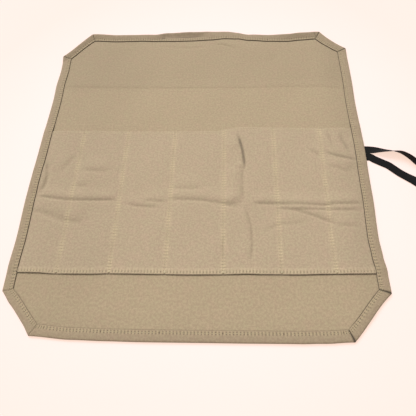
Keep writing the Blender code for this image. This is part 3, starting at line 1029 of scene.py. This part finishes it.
def woven_look(name, light, pink, green, thread_pitch):
    """Plain-weave cotton: crossing threads with slubs, in a colour that wanders between three near shades."""
    look = Look(name, {"Sheen Weight": 0.08, "Sheen Roughness": 0.5, "Specular IOR Level": 0.2})
    flat = look.attribute("flat", "Vector")
    slub = look.noise(flat, 420, 2.0, 0.5, 0, 1)
    threads = []
    for axis in ("X", "Y"):
        across = look.times(look.parts(flat)[axis], 2 * pi / thread_pitch)
        threads.append(look.math("SINE", look.plus(across, look.times(slub, 2.2))))
    weave = look.ramp(look.times(*threads), -1, 1)
    broad = look.noise(flat, 38, 3.0, 0.55, 0.38, 0.62)
    patches = look.noise(flat, 120, 4.0, 0.65, 0.40, 0.60)
    heather = look.noise(flat, 700, 4.0, 0.75, 0.36, 0.64)
    flecks = look.noise(flat, 400, 3.0, 0.75, 0.42, 0.58)
    # A lighter colour for the painted highlight on the gathers.
    highlight_colour = (1.30 * light[0], 1.33 * light[1], 1.22 * light[2])
    colour = look.mixed(broad, light, pink)
    colour = look.mixed(look.times(patches, 0.65), colour, green)
    colour = look.mixed(look.times(flecks, 0.8), colour, tuple(0.74 * x for x in pink))
    # Painted highlight where the pale attribute marks the crests of the gathers.
    colour = look.mixed(look.times(look.attribute("pale"), 0.76), colour, highlight_colour)
    colour = look.mixed(look.times(heather, 0.42), colour, tuple(0.72 * x for x in light))
    # Painted shade between the threads of the weave.
    between = look.times(look.math("SUBTRACT", 1.0, weave), 0.30)
    colour = look.mixed(between, colour, tuple(0.62 * x for x in light))
    # Painted shade, from the attribute that marks crevices, gaps, creases and needle holes.
    colour = look.mixed(look.attribute("grime"), colour, SHADE_COLOUR)
    roughness = look.plus(look.times(heather, 0.12), 0.84)
    return look.finish(colour, roughness, look.plus(weave, look.times(slub, 0.6)), 0.12 * MM)


def thread_look():
    """Pale twisted thread: light and dark stripes running slantwise round it."""
    look = Look("sewing_thread", {"Sheen Weight": 0.1})
    flat = look.parts(look.attribute("flat", "Vector"))
    share = look.ramp(look.stripes(look.plus(flat["X"], flat["Y"]), 0.5 * MM), -1, 1)
    # Painted shade in the grooves of the twist and painted light on its ridges.
    colour = look.mixed(share, (0.42, 0.345, 0.215), (0.56, 0.475, 0.305))
    return look.finish(colour, look.plus(look.times(share, 0.1), 0.55), share, 0.06 * MM)


def tape_look():
    """Black twill tape: a herringbone that turns at the middle, plain at its selvedges."""
    look = Look("black_twill_tape", {"Specular IOR Level": 0.1})
    where = look.attribute("flat", "Vector")
    flat = look.parts(where)
    twill = look.stripes(look.plus(flat["X"], look.math("ABSOLUTE", flat["Y"])), 1.1 * MM)
    rib = look.stripes(flat["Y"], 0.55 * MM)
    weave = look.ramp(look.plus(twill, look.times(rib, 0.5)), -1.5, 1.5)
    lint = look.noise(where, 900, 3.0, 0.6, 0.45, 0.8)
    # Painted shade in the grooves of the twill and its ribs, lighter on their ridges.
    colour = look.mixed(weave, (0.0035, 0.0033, 0.0035), (0.0105, 0.0098, 0.0102))
    colour = look.mixed(look.times(lint, 0.2), colour, (0.028, 0.026, 0.028))
    return look.finish(colour, look.plus(look.times(weave, -0.15), 0.8), weave, 0.1 * MM)


def floor_look():
    """Pale warm table top, very slightly uneven, glowing with painted light so that shadows on it stay pale
    and warm.
    """
    look = Look("pale_table", {"Roughness": 0.7, "Specular IOR Level": 0.0, "Emission Strength": 1.0})
    where = look.tree.nodes.new("ShaderNodeTexCoord").outputs["Object"]
    cloud = look.noise(where, 5, 2.0, 0.5, 0.3, 0.7)
    look.feed(look.shader["Base Color"], look.mixed(cloud, (0.209, 0.215, 0.269), (0.215, 0.219, 0.275)))
    distance = look.node("ShaderNodeVectorMath", {0: where})
    distance.operation = "LENGTH"
    # The painted glow is warmer and dimmer past the cloth, standing in for light that falls off.
    far = look.ramp(distance.outputs["Value"], 0.21, 0.36)
    look.feed(look.shader["Emission Color"], look.mixed(far, (0.87, 0.658, 0.533), (0.87, 0.60, 0.455)))
    return look.material


# ---- camera, floor and light


def make_camera():
    """In front of the cloth and above it, looking down and a little across."""
    data = bpy.data.cameras.new("camera")
    data.sensor_width = 36
    data.lens = 34.781
    camera = bpy.data.objects.new("camera", data)
    camera.location = (0.04492, -0.29345, 0.42212)
    camera.rotation_euler = (radians(27.376), radians(3.265), radians(1.449))
    bpy.context.scene.collection.objects.link(camera)
    bpy.context.scene.camera = camera


def make_floor():
    """A table top that reaches far past every view."""
    bpy.ops.mesh.primitive_plane_add(size=60)
    floor = bpy.context.object
    floor.name = "table_top"
    floor.data.materials.append(floor_look())


def make_light():
    """Even light from all round, and a large soft window behind the cloth's left."""
    world = bpy.data.worlds.new("studio")
    world.use_nodes = True
    background = world.node_tree.nodes["Background"].inputs
    background["Color"].default_value = (1.0, 0.955, 0.925, 1)
    background["Strength"].default_value = 0.66
    bpy.context.scene.world = world
    data = bpy.data.lights.new("window", "AREA")
    data.shape = "DISK"
    data.size = 8.8
    data.energy = 2450
    data.color = (0.99, 1.0, 0.99)
    window = bpy.data.objects.new("window", data)
    window.location = (-5.0, 9.6, 10.0)
    window.rotation_euler = (-window.location).to_track_quat("-Z", "Y").to_euler()
    bpy.context.scene.collection.objects.link(window)
    bpy.context.scene.view_settings.view_transform = "Standard"


# ---- the whole roll

RUNS = outline_runs()
LOOKS = {
    "canvas": woven_look(
        "canvas", (0.440, 0.346, 0.223), (0.449, 0.334, 0.223), (0.403, 0.344, 0.209), 0.8 * MM
    ),
    # A lighter copy of the canvas for the pocket fronts: painted light, as the middle of the cloth is more
    # brightly lit.
    "pocket_canvas": woven_look(
        "pocket_canvas", (0.467, 0.367, 0.247), (0.477, 0.354, 0.247), (0.427, 0.366, 0.230), 0.8 * MM
    ),
    "binding": woven_look(
        "edging_canvas", (0.378, 0.293, 0.193), (0.387, 0.283, 0.193), (0.350, 0.293, 0.182), 0.7 * MM
    ),
    "thread": thread_look(),
    "tape": tape_look(),
}

make_camera()
make_floor()
make_light()
make_tail("upper", UPPER_TAIL, UPPER_COIL)
make_tail("lower", LOWER_TAIL, LOWER_COIL)
make_tie_fold()

for column in COLUMNS:
    make_column_cloth(column)
    for kind in ("top", "bottom"):
        make_flap_cloth(kind, column)
        make_flap_edging(kind, column)
    make_pocket_stitches(column)
make_side_edging("left", 1)
make_side_edging("right", 7)
